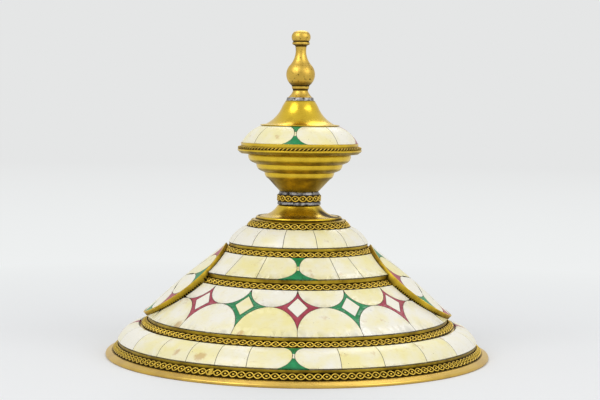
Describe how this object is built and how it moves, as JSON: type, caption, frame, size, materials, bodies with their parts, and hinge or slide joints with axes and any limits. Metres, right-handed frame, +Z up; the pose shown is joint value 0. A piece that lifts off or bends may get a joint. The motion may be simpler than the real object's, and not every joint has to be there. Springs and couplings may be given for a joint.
{
  "type": "tagine pot",
  "caption": "Decorative tagine: stepped conical lid of brass set with bone and coloured resin marquetry, with a waisted neck, cap and finial, lifting off a shallow brass dish.",
  "frame": {"origin": "middle of the dish's underside, on the surface that it stands on", "axes": "+Z up the axis of the cone, -Y towards the front bow-tie inlays, +X and -X towards the two medallions"},
  "size_m": [0.3, 0.3, 0.2537],
  "materials": {
    "brass": "spun and brushed, tarnished in crevices",
    "bone": "polished bone, stained in places",
    "green_resin": "polished resin filler",
    "red_resin": "polished resin filler",
    "solder": "dull soft solder"
  },
  "bodies": {
    "base": {"base_dish": "brass"},
    "lid": {"cap_bone": "bone", "cap_disc": "brass", "cap_dome": "brass", "cap_green": "green_resin", "cap_red": "red_resin", "cap_rope_wire": "brass", "cap_shell": "brass", "filigree_2": "brass", "filigree_3": "brass", "filigree_4": "brass", "filigree_collar": "brass", "filigree_foot": "brass", "filigree_shoulder": "brass", "finial": "brass", "finial_solder": "solder", "lid_shell": "brass", "medallion_left_bezel": "brass", "medallion_left_green": "green_resin", "medallion_left_petals": "bone", "medallion_left_plate": "brass", "medallion_left_red": "red_resin", "medallion_right_bezel": "brass", "medallion_right_green": "green_resin", "medallion_right_petals": "bone", "medallion_right_plate": "brass", "medallion_right_red": "red_resin", "neck_cup": "brass", "neck_skirt": "brass", "neck_solder_lower": "solder", "neck_solder_upper": "solder", "neck_tube": "brass", "tier_1_bone": "bone", "tier_2_bone": "bone", "tier_2_green": "green_resin", "tier_3_diamonds": "bone", "tier_3_green": "green_resin", "tier_3_lower_bone": "bone", "tier_3_red": "red_resin", "tier_3_upper_bone": "bone", "tier_4_bone": "bone", "tier_4_green": "green_resin", "tier_4_red": "red_resin"}
  },
  "joints": [
    {"name": "lid_lift", "type": "slide", "parent": "base", "child": "lid", "axis": [0, 0, 1], "range_m": [0, 0.15]}
  ]
}
